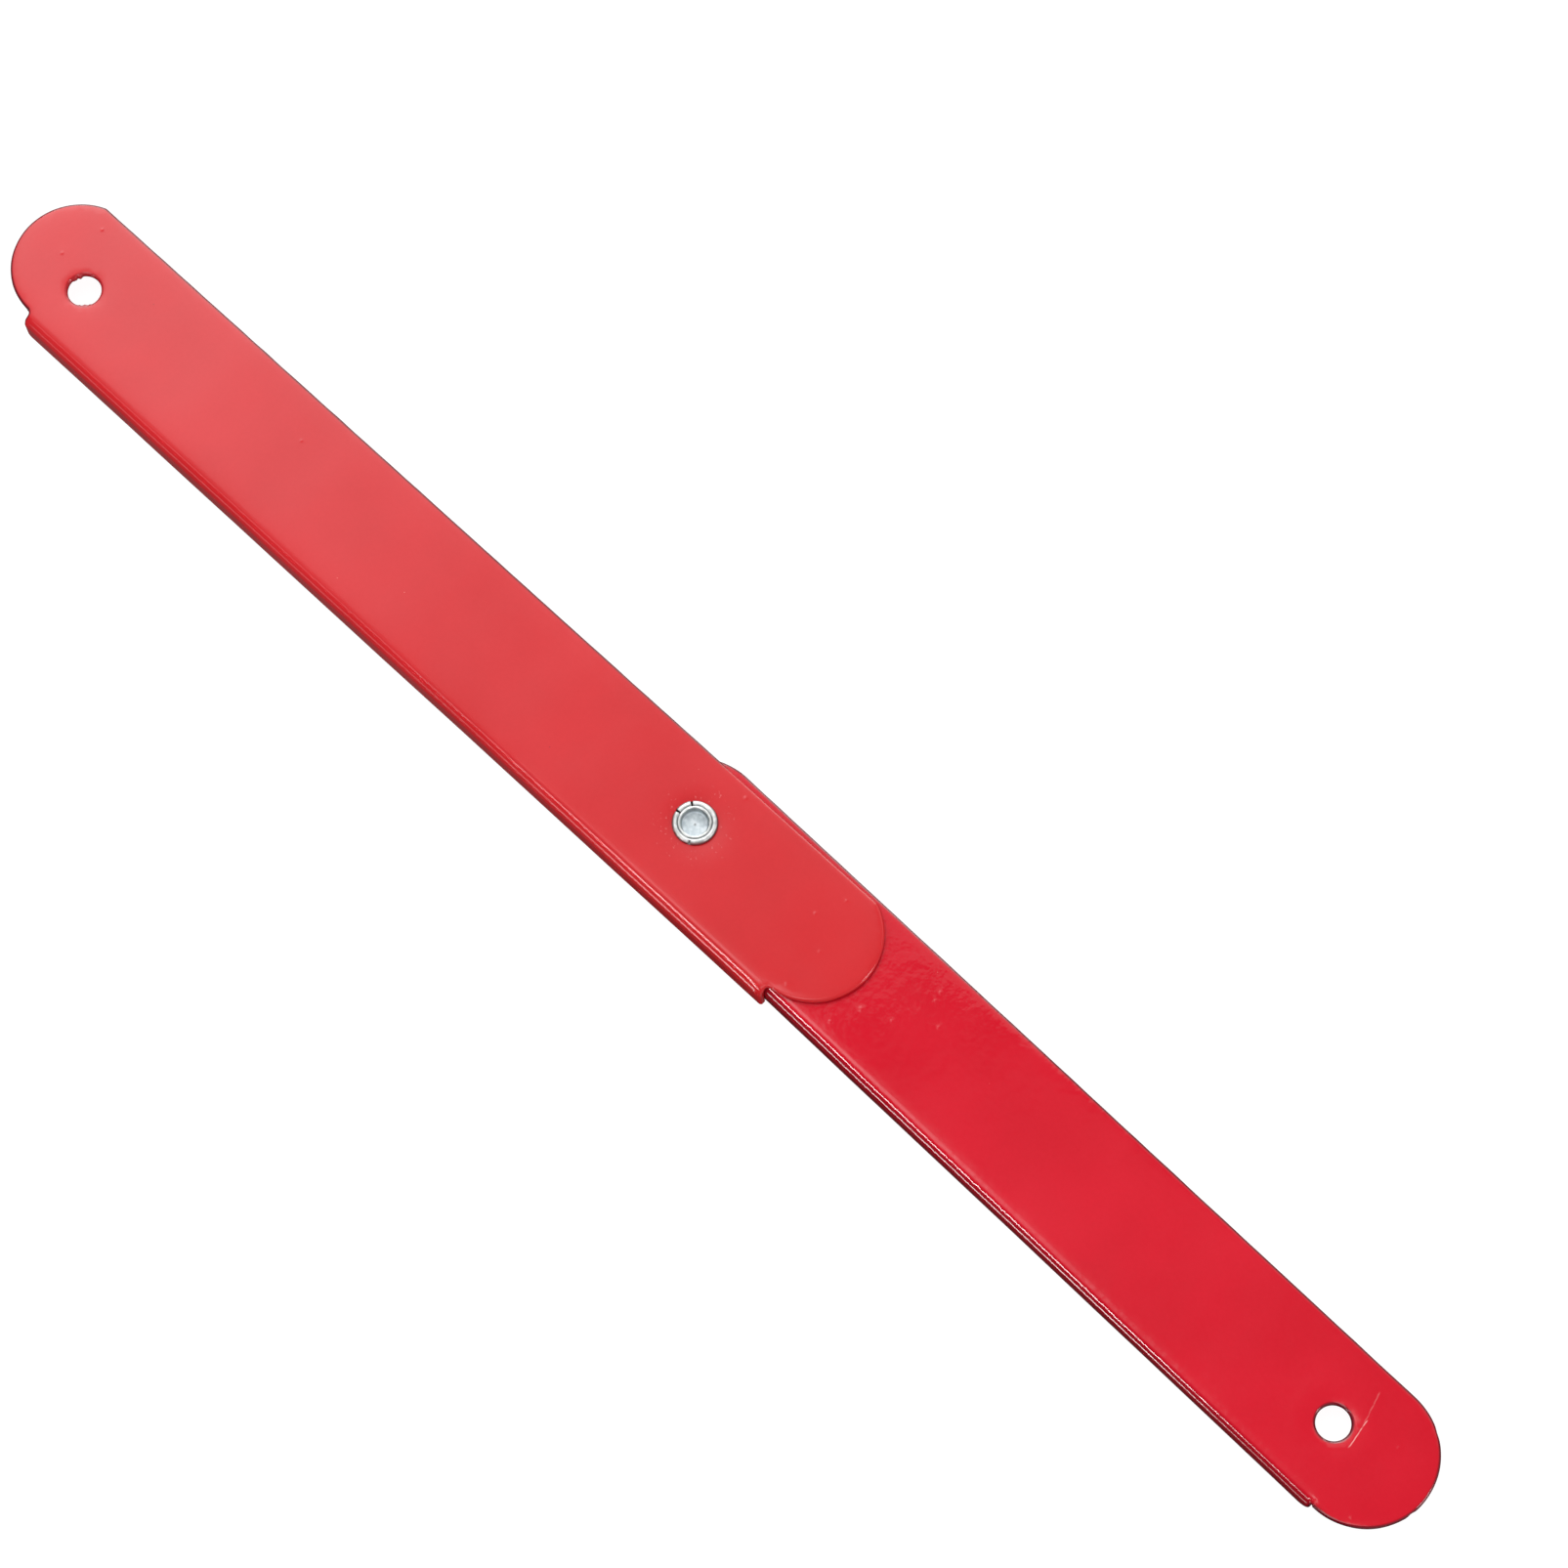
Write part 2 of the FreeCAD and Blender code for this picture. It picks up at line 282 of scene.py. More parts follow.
def bend_flat(flat, depth, bend_line, flat_ends=()):
    """Fold the flat pattern's points down past the bend line, depth below the outer face.

    flat_ends are (place, direction): past such a place along the link the sheet stays flat,
    as far across as the round end reaches.
    """
    u, v = flat.T
    run = np.maximum(bend_line - v, 0)
    turn = np.minimum(run / BEND, math.pi / 2)
    drop = np.maximum(run - BEND_LENGTH, 0)
    y = np.where(run > 0, bend_line - (BEND - depth) * np.sin(turn), v)
    z = np.where(run > 0, -BEND + (BEND - depth) * np.cos(turn) - drop, -depth)
    flatness = np.zeros(len(flat))
    for place, direction in flat_ends:
        past = smooth(-FLAT_ALONG, FLAT_ALONG, direction * (u - place))
        flatness = np.maximum(flatness, past * smooth(*FLAT_ACROSS, v))
    y += (v - y) * flatness
    z += (-depth - z) * flatness
    return np.column_stack((u, y, z))


def waviness(u, v, seed):
    """The slight unevenness of a pressed strip, in millimetres."""
    random = np.random.default_rng(seed)
    height = np.zeros(len(u))
    for wavelength, size in WAVES:
        heading = random.uniform(-WAVE_SWING, WAVE_SWING)
        along = u * math.cos(heading) + v * math.sin(heading)
        height += size * np.sin(2 * math.pi * along / wavelength + random.uniform(0, 2 * math.pi))
    return height


def nib_points(nibs):
    """Close rings of points, so that the mesh can carry each nib."""
    rings = [arc_points(x, y, radius * share, 0, NIB_RING_STOP)
             for x, y, radius, _ in nibs for share in NIB_RINGS]
    return np.concatenate(rings)


def nib_heights(u, v, nibs):
    """Height of the nibs' smooth bumps."""
    height = np.zeros(len(u))
    for x, y, radius, top in nibs:
        height += top * np.exp(-((u - x) ** 2 + (v - y) ** 2) / (NIB_SPREAD * radius) ** 2)
    return height


def pressed_ring(gap, depth, radius, width):
    """How deep a ring is pressed in, at some distance from its middle."""
    return depth * np.exp(-((gap - radius) / width) ** 2)


def drawn_down(places, edges, bend_line):
    """How far the top face is pulled down along its edges and along the bend."""
    v = places[:, 1]
    on_web = smooth(bend_line - BEND, bend_line, v)
    crown = np.exp(-np.maximum(v - bend_line, 0) / CROWN[1])
    return DRAW[0] * np.exp(-nearest(places, edges) / DRAW[1]) + CROWN[0] * crown * on_web


def spaced(start, stop):
    """Places of grid lines from start to stop."""
    return np.linspace(start, stop, math.ceil((stop - start) / GRID))


def grid_points(outline, bend_line, flange_end):
    """Grid over the flat pattern, with close rows along the bend."""
    low, high = outline.min(axis=0), outline.max(axis=0)
    bend_end = bend_line - BEND_LENGTH
    bend_rows = np.linspace(bend_end, bend_line, BEND_ROWS)
    rows = np.concatenate((spaced(flange_end, bend_end)[:-1], bend_rows[:-1], spaced(bend_line, high[1])))
    across, along = np.meshgrid(rows, spaced(low[0], high[0]))
    return np.column_stack((along.ravel(), across.ravel()))


def fill(loops, grid, nibs):
    """Points and triangles of the flat area between the loops: the first encloses the others."""
    edge_points = np.concatenate(loops)
    fine = nib_points(nibs)
    grid = np.concatenate((grid[nearest(grid, fine) > NIB_GAP], fine))
    grid = grid[in_sheet(grid, loops)]
    grid = grid[nearest(grid, edge_points) > EDGE_GAP]
    points = np.concatenate((edge_points, grid))
    edges = []
    for loop in loops:
        first = len(edges)
        edges += [(first + i, first + (i + 1) % len(loop)) for i in range(len(loop))]
    places = [Vector(point) for point in points.tolist()]
    _, _, found, origins, _, _ = delaunay_2d_cdt(places, edges, [], 0, ONE_CORNER)
    source = np.array([origin[0] for origin in origins])
    triangles = source[np.array(found)]
    return points, triangles[in_sheet(points[triangles].mean(axis=1), loops)]


def edge_profile():
    """(inset, depth) of each ring round a sheet's edge, from its top face to its lower face."""
    turns = np.linspace(0, math.pi / 2, EDGE_STEPS + 1)
    upper = [(TOP_EDGE[0] * (1 - math.sin(a)), TOP_EDGE[1] * (1 - math.cos(a))) for a in turns]
    lower = [(LOWER_EDGE[0] * (1 - math.sin(a)), SHEET - LOWER_EDGE[1] * (1 - math.cos(a))) for a in turns]
    return upper + lower[::-1]


def inset(rims, distance):
    """The rims' loops drawn in by a distance, their wander fading out as they go."""
    share = 1 - distance / TOP_EDGE[0]
    return [points - normals * (distance + wander * share)[:, None] for points, normals, wander in rims]


def wall_faces(starts, loops):
    """Faces between rings of points round the loops. starts are the numbers of the rings' first points."""
    faces = []
    for upper, lower in zip(starts, starts[1:]):
        first = 0
        for loop in loops:
            for i in range(len(loop)):
                j = (i + 1) % len(loop)
                faces.append((upper + first + j, upper + first + i, lower + first + i, lower + first + j))
            first += len(loop)
    return faces


def store(mesh, name, values):
    """Keep a value with each of the mesh's points, for its material."""
    mesh.attributes.new(name, "FLOAT", "POINT").data.foreach_set("value", values.astype(np.float32))


def link_mesh(name, rims, bend_line, flange_end, flat_ends, seed, nibs, dents):
    """Closed mesh of a link from its flat rims. dents(u, v) sinks the top face by millimetres."""
    (top_inset, top_depth), *rings, (low_inset, low_depth) = edge_profile()
    loops = [points for points, _, _ in rims]
    edges = np.concatenate(loops)
    flat, triangles = fill(inset(rims, top_inset), grid_points(loops[0], bend_line, flange_end), nibs)
    low_flat = flat.copy()
    low_flat[:len(edges)] = np.concatenate(inset(rims, low_inset))
    layers = [(flat, top_depth), (low_flat, low_depth)]
    layers += [(np.concatenate(inset(rims, distance)), depth) for distance, depth in rings]
    points = []
    for places, depth in layers:
        u, v = places.T
        sink = depth + waviness(u, v, seed) + WAVE_ROOM
        top_half = depth < SHEET / 2
        if top_half:
            sink += dents(u, v) - nib_heights(u, v, nibs)
            sink += drawn_down(places, edges, bend_line)
        points.append(bend_flat(places, sink, bend_line, flat_ends))
    top, bottom, *middle = np.cumsum([0] + [len(places) for places, _ in layers[:-1]]).tolist()
    faces = (triangles + top).tolist() + (triangles[:, ::-1] + bottom).tolist()
    faces += wall_faces([top, *middle, bottom], loops)
    mesh = bpy.data.meshes.new(name)
    mesh.from_pydata(np.concatenate(points).tolist(), [], faces)
    flat_places = np.concatenate([places for places, _ in layers])
    store(mesh, "edge", nearest(flat_places, edges))
    store(mesh, "turned", np.clip((bend_line - flat_places[:, 1]) / BEND_LENGTH, 0, 1))
    return mesh


def place_piece(mesh, body, node, turn):
    """Put a mesh drawn about the rivet into the frame, in place of a CAD node."""
    mesh.transform(Matrix.Translation(rivet_place) @ Matrix.Rotation(turn, 4, "Z") @ Matrix.Scale(MM, 4))
    mesh.shade_smooth()
    piece = bpy.data.objects.new(mesh.name, mesh)
    bpy.context.scene.collection.objects.link(piece)
    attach(piece, body)
    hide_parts(node)
    return piece


def flat_flange(bend_line, drop):
    """Where the flange's lower edge lies in the flat pattern."""
    return bend_line - BEND_LENGTH - (drop - BEND)


def outer_outline(bend_line, flange_end):
    """The outer link's flat pattern, anticlockwise from the notch at the lap."""
    middle = bend_line + TAB
    far_tab = outer_low.x + TAB
    lap_tab = outer_high.x - TAB
    reach = TAB - TAB_CORNER
    rise = outer_high.y - TAB_CORNER - middle
    aside = math.sqrt(reach ** 2 - rise ** 2)
    corner = math.degrees(math.atan2(rise, aside))
    notch_far = OUTER_FLANGE_FAR - NOTCH
    notch_near = OUTER_FLANGE_NEAR + NOTCH
    notch_rise = middle - math.sqrt(TAB ** 2 - (notch_near - lap_tab) ** 2)
    lap_start = -math.degrees(math.acos((notch_near - lap_tab) / TAB))
    return closed_loop([
        (lap_tab, middle, TAB, lap_start, corner),
        (lap_tab + aside, middle + rise, TAB_CORNER, corner, 90),
        (far_tab - aside, middle + rise, TAB_CORNER, 90, 180 - corner),
        (far_tab, middle, TAB, 180 - corner, TAB_STOP),
        (notch_far, bend_line - NOTCH, NOTCH, 90, 0),
        (OUTER_FLANGE_FAR + FLANGE_CORNER, flange_end + FLANGE_CORNER, FLANGE_CORNER, 180, 270),
        (OUTER_FLANGE_NEAR + FLANGE_SPUR - SPUR_TIP, flange_end + SPUR_TIP, SPUR_TIP, 270, SPUR_STOP),
        (notch_near, notch_rise - NOTCH, NOTCH, 180, 90),
    ])


def outer_link():
    bend_line = outer_low.y + BEND
    flange_end = flat_flange(bend_line, -outer_low.z)
    outline = outer_outline(bend_line, flange_end)
    end_hole = round_hole(outer_hole.x, outer_hole.y, END_HOLE - OUTER_RUN, BURRS)
    rims = [sheared(outline, *OUTER_WANDER), end_hole, round_hole(0, 0, PIVOT_HOLE)]

    def dents(u, v):
        clinch = pressed_ring(np.hypot(u, v), *CLINCH_DENT)
        return clinch + pressed_ring(np.hypot(u - outer_hole.x, v - outer_hole.y), *OUTER_SWELL)

    mesh = link_mesh(
        "outer_link_enamel", rims, bend_line, flange_end, (), OUTER_WAVES, OUTER_NIBS, dents)
    return place_piece(mesh, "outer_link", "outer_link", 0)


def inner_outline(tab, flange_end):
    """The inner link's flat pattern, anticlockwise from the round end whose middle is at tab."""
    far_corner = 2 * FLANGE_CORNER
    return closed_loop([
        (tab, 0, INNER_HALF, INNER_TAB_START, 90),
        (0, 0, INNER_HALF, 90, INNER_LAP_STOP),
        (INNER_FLANGE_NEAR - INNER_NOTCH, -INNER_HALF - INNER_NOTCH, INNER_NOTCH, 90, 0),
        (INNER_FLANGE_NEAR + FLANGE_CORNER, flange_end + FLANGE_CORNER, FLANGE_CORNER, 180, 270),
        (INNER_FLANGE_FAR - far_corner, flange_end + far_corner, far_corner, 270, 360),
        (INNER_FLANGE_FAR + INNER_NOTCH, -INNER_HALF - INNER_NOTCH, INNER_NOTCH, 180, 90),
    ])


def inner_link():
    bend_line = -INNER_FLANGE + BEND
    flange_end = flat_flange(bend_line, inner_high.z - inner_low.z)
    tab = (inner_high.x - INNER_HALF) / math.cos(inner_turn)
    nicks = [((tab + x, y), size, depth) for (x, y), size, depth in INNER_NICKS]
    outline = sheared(inner_outline(tab, flange_end), *INNER_WANDER, nicks)
    rims = [outline, round_hole(inner_reach, 0, END_HOLE - INNER_RUN), round_hole(0, 0, PIVOT_HOLE)]
    flat_ends = ((INNER_FLANGE_NEAR, -1), (INNER_FLANGE_FAR, 1))

    def dents(u, v):
        gap = np.hypot(u - inner_reach, v)
        return pressed_ring(gap, *INNER_DENT) + pressed_ring(gap, *INNER_SWELL)

    mesh = link_mesh(
        "inner_link_enamel", rims, bend_line, flange_end, flat_ends, INNER_WAVES, INNER_NIBS, dents)
    mesh.transform(Matrix.Translation((0, 0, inner_high.z)))
    return place_piece(mesh, "inner_link", "inner_link", inner_turn)


outer = outer_link()
inner = inner_link()


# ---------------------------------------------------------------------------------------------
# Rivet

# Shapes in millimetres, with arcs in degrees. Pairs are (radius, height).
BOWL = ((0, -0.92), (0.2, -0.84), (0.45, -0.80), (2.45, -0.76), (2.74, -0.60), (2.88, 0.3))
LIP = 3.30                # radius of the ridge round the bowl
LIP_ROUND = 0.34          # its rounding
LIP_SINK = 0.36           # from the rivet's top to the rounding's middle
LIP_ARC = (180, 15)
CLINCH = 4.8              # radius of the clinch
CURL = 0.72               # rounding of its outer ridge
CURL_HEIGHT = 0.30
CURL_ARC = (126, -24)
FOOT = 4.5                # radius within which the clinch rests on the link
SHANK = 3.15
SHANK_TOP = ((3.4, 0.0), (SHANK, -0.03))
HEAD_SEAT = -3.3          # height of the head's upper face
HEAD_FLAT = 0.35          # from the head's edge to where that face ends
HEAD_EDGE = 0.3           # rounding of the head's edge
HEAD_ARC = (90, -20)
SHOULDER = 0.1            # from the head's edge to where its dome starts
DOME = ((4.4, -4.95), (2.6, -5.4))
DOME_MIDDLE = 0.8         # radius of the dome's flat middle
CUT = 0.25                # share of a line that is cut off at each end to soften its corners

# Splits: place and half width in degrees, the radius they start from, and how dark their painted shade is.
SPLITS = ((142, 3.2, 3.5, 1.0), (189, 3.4, 3.6, 1.0), (299, 3.2, 4.1, 0.25))
SPLIT_NECK = 0.5          # length of a split's narrow end
SPLIT_NARROW = 0.55       # width of that end, and of the rest, in the split's half widths
SPLIT_WIDE = 1.05
SPLIT_FLOOR = 0.03        # height of a split's floor
SPLIT_ROWS = (1.12, 1.0, 0.5)   # rows of points beside a split's middle, in its half widths
SPLIT_GAP = 0.8           # degrees from a split to the even rows
ROW_STEP = 2.5            # degrees

# The tool left the clinch out of true. A ripple is (size, waves in a turn, phase).
CLINCH_TOP = 0.3          # height over which the unevenness sets in
OUT_OF_ROUND = ((0.07, 1, 0.0), (0.03, 2, 0.6), (0.015, 5, 2.0))
OUT_OF_LEVEL = ((0.03, 1, 2.4), (0.02, 3, 0.0))
LEVEL_DROP = 0.03
ROUND_ZONE = (3.4, 4.2)   # radii between which each of these sets in
LEVEL_ZONE = (2.8, 3.8)
FLAP_ZONE = (2.9, 3.6)
FLAP = (142, 189)         # the loose piece between two splits, degrees
FLAP_EASE = 4             # degrees
FLAP_OUT = 0.08
FLAP_DOWN = 0.10
SHARP = 50                # degrees between faces that meet in a sharp edge


def softened(points, rounds=2):
    """Cut the corners of an open line again and again, so that it turns smoothly."""
    for _ in range(rounds):
        early = (1 - CUT) * points[:-1] + CUT * points[1:]
        late = CUT * points[:-1] + (1 - CUT) * points[1:]
        points = np.concatenate((points[:1], np.stack((early, late), axis=1).reshape(-1, 2), points[-1:]))
    return points


def rivet_profile():
    """(radius, height) from the middle of the clinch's bowl to the middle of the head."""
    head = rivet_high.x
    bottom = rivet_low.z
    bowl = softened(np.array(BOWL))
    lip = arc_points(LIP, rivet_high.z - LIP_SINK, LIP_ROUND, *LIP_ARC)
    curl = arc_points(CLINCH - CURL, CURL_HEIGHT, CURL, *CURL_ARC)
    under = np.array([(FOOT, 0.0), *SHANK_TOP, (SHANK, HEAD_SEAT), (head - HEAD_FLAT, HEAD_SEAT)])
    edge = arc_points(head - HEAD_EDGE, HEAD_SEAT - HEAD_EDGE, HEAD_EDGE, *HEAD_ARC)
    shoulder = (head - SHOULDER, HEAD_SEAT - 2 * HEAD_EDGE)
    dome = softened(np.array([shoulder, *DOME, (DOME_MIDDLE, bottom), (0, bottom)]))
    return np.concatenate((bowl, lip, curl, under, edge, dome))


def rivet_angles():
    """Directions of the mesh's rows in degrees, even but for the splits' own rows."""
    angles = list(np.arange(0, 360, ROW_STEP))
    for place, spread, _, _ in SPLITS:
        angles = [angle for angle in angles if abs(angle - place) > spread + SPLIT_GAP]
        angles += [place + side * spread * share for side in (-1, 1) for share in SPLIT_ROWS]
        angles.append(place)
    return np.sort(np.array(angles))


def rippled(turn, level, ripples):
    """A level with ripples round the rivet."""
    return sum((size * np.sin(waves * turn + phase) for size, waves, phase in ripples), level)


def knocked_about(angles, radius, height):
    """The clinch's radii and heights after the tool has pushed its rings and its flap about."""
    turn = np.radians(angles)[:, None]
    above = np.clip(height / CLINCH_TOP, 0, 1)
    opened = smooth(FLAP[0], FLAP[0] + FLAP_EASE, angles)
    closed = smooth(FLAP[1] - FLAP_EASE, FLAP[1], angles)
    flap = (opened * (1 - closed))[:, None] * smooth(*FLAP_ZONE, radius) * above
    radius = radius + above * smooth(*ROUND_ZONE, radius) * rippled(turn, 0.0, OUT_OF_ROUND)
    radius += FLAP_OUT * flap
    height = height - above * smooth(*LEVEL_ZONE, radius) * rippled(turn, LEVEL_DROP, OUT_OF_LEVEL)
    height -= FLAP_DOWN * flap
    return radius, height


def split_darkness(angles, radius, height):
    """How dark a split's painted shade makes each point, from 0 to 1."""
    slot = np.zeros_like(radius)
    for place, spread, start, dark in SPLITS:
        away = np.abs(angles - place)[:, None]
        width = np.where(radius > start + SPLIT_NECK, SPLIT_WIDE, SPLIT_NARROW) * spread
        slot = np.maximum(slot, dark * (away < width) * (radius > start) * (height > SPLIT_FLOOR))
    return slot


def turned_faces(around, along):
    """Faces of a closed body of rows of points, after the points at its two ends."""
    faces = []
    for i in range(around):
        here = 2 + i * along
        there = 2 + ((i + 1) % around) * along
        faces.append((0, here, there))
        faces.append((1, there + along - 1, here + along - 1))
        faces += [(here + j, here + j + 1, there + j + 1, there + j) for j in range(along - 1)]
    return faces


def rivet():
    profile = rivet_profile()
    angles = rivet_angles()
    turn = np.radians(angles)[:, None]
    radius, height = (np.repeat(values[None, :], len(angles), axis=0) for values in profile.T)
    radius, height = knocked_about(angles, radius, height)
    slot = split_darkness(angles, radius, height)
    height = np.where(slot > 0, SPLIT_FLOOR, height)
    rows = np.stack((radius * np.cos(turn), radius * np.sin(turn), height), axis=2)[:, 1:-1]
    points = [(0, 0, profile[0, 1]), (0, 0, profile[-1, 1])] + rows.reshape(-1, 3).tolist()
    mesh = bpy.data.meshes.new("pivot_rivet_zinc")
    mesh.from_pydata(points, [], turned_faces(*rows.shape[:2]))
    store(mesh, "slot", np.concatenate(((0, 0), slot[:, 1:-1].ravel())))
    piece = place_piece(mesh, "outer_link", "pivot_rivet", 0)
    mesh.set_sharp_from_angle(angle=math.radians(SHARP))
    return piece


clinched = rivet()


# ---------------------------------------------------------------------------------------------
# Shader nodes

COLOUR_A, COLOUR_B, COLOUR_RESULT = 6, 7, 2     # sockets of the Mix node that carry colours


def node(tree, kind, inputs=None, **settings):
    """Add a shader node, whose inputs are values or other nodes' outputs. Returns its outputs."""
    made = tree.nodes.new("ShaderNode" + kind)
    for name, value in settings.items():
        setattr(made, name, value)
    for key, value in (inputs or {}).items():
        if isinstance(value, bpy.types.NodeSocket):
            tree.links.new(value, made.inputs[key])
        else:
            made.inputs[key].default_value = value
    return made.outputs


def maths(tree, operation, first, second=0.0):
    return node(tree, "Math", {0: first, 1: second}, operation=operation)[0]


def product(tree, first, *others):
    for other in others:
        first = maths(tree, "MULTIPLY", first, other)
    return first


def total(tree, first, *others):
    for other in others:
        first = maths(tree, "ADD", first, other)
    return first


def largest(tree, first, *others):
    for other in others:
        first = maths(tree, "MAXIMUM", first, other)
    return first


def clamped(tree, value, low, high):
    return maths(tree, "MINIMUM", maths(tree, "MAXIMUM", value, low), high)


def between(tree, value, low, high, start=0.0, end=1.0):
    """Ease from start to end as a value goes from low to high."""
    inputs = {"Value": value, "From Min": low, "From Max": high, "To Min": start, "To Max": end}
    return node(tree, "MapRange", inputs, interpolation_type="SMOOTHSTEP")[0]


def noise(tree, place, size, detail=2.0):
    """Noise from 0 to 1 whose blotches are about size millimetres across."""
    return node(tree, "TexNoise", {"Vector": place, "Scale": 1 / size, "Detail": detail})[0]


def vector_maths(tree, operation, first, second, result=0):
    return node(tree, "VectorMath", {0: first, 1: second}, operation=operation)[result]


def blended(tree, share, first, second):
    """Colour that goes from first to second with the share."""
    return node(tree, "Mix", {0: share, COLOUR_A: first, COLOUR_B: second}, data_type="RGBA")[COLOUR_RESULT]


def bumped(tree, relief, height):
    """Normals of a surface whose relief is some millimetres high."""
    return node(tree, "Bump", {"Height": relief, "Distance": height * MM, "Strength": 1.0})[0]


def new_material(name):
    material = bpy.data.materials.new(name)
    material.use_nodes = True
    material.node_tree.nodes.clear()
    return material, material.node_tree


def millimetres(tree, centre=(0.0, 0.0, 0.0)):
    """Place on the piece in millimetres, from a point of the frame."""
    moved = vector_maths(tree, "SUBTRACT", node(tree, "TexCoord")["Object"], centre)
    return node(tree, "VectorMath", {0: moved, "Scale": 1 / MM}, operation="SCALE")[0]


def distance_across(tree, centre):
    """Millimetres from an upright axis through a point of the frame."""
    flat = vector_maths(tree, "MULTIPLY", millimetres(tree, centre), (1, 1, 0))
    return node(tree, "VectorMath", {0: flat}, operation="LENGTH")["Value"]


# ---------------------------------------------------------------------------------------------
# Materials

# A noise is (blotch size in millimetres, detail). A range is where in a value's run a change
# starts and stops, with the results at both ends if they aren't 0 and 1.

MOST = (0.3, 0.7)                            # where most of a noise lies

# Enamel: its two shades, its roughness, the height of its orange peel in millimetres, and how
# much painted shade darkens the turned-down side of the bend.
OUTER_PAINT = {
    "deep": (0.535, 0.0130, 0.0170, 1),
    "light": (0.585, 0.0165, 0.0215, 1),
    "roughness": 0.11,
    "peel": 0.008,
    "fold": 0.0,
}
INNER_PAINT = {
    "deep": (0.560, 0.0056, 0.0180, 1),
    "light": (0.620, 0.0080, 0.0230, 1),
    "roughness": 0.04,
    "peel": 0.044,
    "fold": 0.55,
}
DRIFT = (26.0, 3.0)
GRAIN = (0.9, 3.0)
GRAIN_RANGE = (0.25, 0.75)
GRAIN_SHARE = 0.25
SMUDGE = (14.0, 4.0)
SMUDGE_RANGE = (0.35, 0.75)
SMUDGE_DULLING = 0.04
PEEL_WIDE = (3.0, 1.0)
PEEL_FINE = (1.1, 1.0)
PEEL_FINE_SHARE = 0.35
# Painted shade on the bend's turned-down side, which faces away from the light.
BEND_SHADE_RANGE = (0.25, 0.6)                   # shares of the bend
BEND_PAINTED_SHADE = (0.12, 0.003, 0.006, 1)
# Painted shade: a dark line laid along the rounded edges.
EDGE_SHADE_RANGE = (0.2, 0.8, 0.92, 0.0)           # millimetres from an edge
EDGE_PAINTED_SHADE = (0.09, 0.004, 0.010, 1)
SCUFF_SHADE = (0.86, 0.42, 0.40, 1)
PAINT_IOR = 1.5

# Specks: spacing and radius in millimetres, and one cell in so many has one.
DARK_SPECKS = (7.0, 0.16, 3)
DARK_SPECK_SHADE = (0.18, 0.01, 0.012, 1)
DARK_SPECK_SHARE = 0.6
PALE_SPECKS = (6.0, 0.14, 3)
PALE_SPECK_SHADE = (0.9, 0.35, 0.3, 1)
PALE_SPECK_SHARE = 0.35
PALE_SPECK_HEIGHT = 0.6
PALE_SPECK_SHIFT = (31, 17, 5)
SPECK_CORE = 0.6                             # share of a speck's radius that is full

# Rubbing round the rivet.
RUB_INNER = (5.0, 6.0)
RUB_OUTER = (7.5, 10.0, 1.0, 0.0)
RUB_STREAKS = (0.8, 3.0)
RUB_STREAKS_RANGE = (0.62, 0.72)
RUB_SHARE = 0.2

# Where the outer link's edges get no painted shade: over the inner link, at the flange's end, and
# partly round the end hole.
LAP_ACROSS = (outer_low.y + 1.5, outer_low.y + BEND)
LAP_ALONG = (-6.0, -2.0)
FLANGE_TIP = (OUTER_FLANGE_NEAR - 1.5, OUTER_FLANGE_NEAR - 0.5)
HOLE_RANGE = (END_HOLE + 1.0, END_HOLE + 2.0, 0.55, 0.0)

# Scratches: start and stop from the rivet, width, and share of bare paint.
FAINT_SCRATCH = ((180.6, 8.6, 0), (182.5, 1.0, 0), 0.14, 0.2)
BRIGHT_SCRATCH = ((182.5, 2.6, 0), (183.3, -4.6, 0), 0.16, 0.75)
SCRATCH_WANDER = 4.0                         # blotch size of the noise that bends a scratch
SCRATCH_SWING = 0.9
SCRATCH_CORE = 0.3
SCRATCH_START = (0.0, 0.1)
SCRATCH_STOP = (0.85, 1.0, 1.0, 0.0)
SCRATCH_GAPS = (0.8, 2.0)
SCRATCH_GAPS_RANGE = (0.3, 0.5, 0.3, 1.0)
TOP_FACE = (inner_high.z - 0.8, inner_high.z - 0.6)    # heights between which the marks begin

# Zinc. Radii are millimetres from the rivet's axis.
CREST_SHADES = ((0.52, 0.53, 0.52, 1), (0.72, 0.73, 0.72, 1))
BOWL_SHADES = ((0.60, 0.66, 0.69, 1), (0.80, 0.84, 0.86, 1))
BOWL_RANGE = (2.75, 2.95)
CLOUD = (1.1, 4.0)
# Painted shade: grey rings in the bowl's middle dimple, at its wall and in the groove outside the lip.
CREASES = ((0.0, 0.45), (2.90, 0.20), (3.66, 0.24))    # radius and half width
CREASE_CORE = 0.05
CREASE_SHARE = 0.6
CREASE_PAINTED_SHADE = (0.22, 0.24, 0.25, 1)
# Painted contact shadow: a dark ring where the clinch sits on the link.
FOOT_SHADOW_RANGE = (4.45, 4.8, 0.0, 0.8)
FOOT_PAINTED_SHADOW = (0.12, 0.12, 0.13, 1)
# Painted shade deep in the splits.
SPLIT_PAINTED_SHADE = (0.02, 0.012, 0.012, 1)
POLISH = (0.6, 3.0)
POLISH_RANGE = (*MOST, 0.40, 0.54)
BOWL_DULLNESS = (2.5, 2.8, 0.75, 0.0)
TOOL_RINGS = {"Scale": 1.6, "Distortion": 3.0, "Detail": 2.0}
TOOL_RINGS_SHARE = 0.4
PLATING = (0.5, 3.0)
PLATING_HEIGHT = 0.02


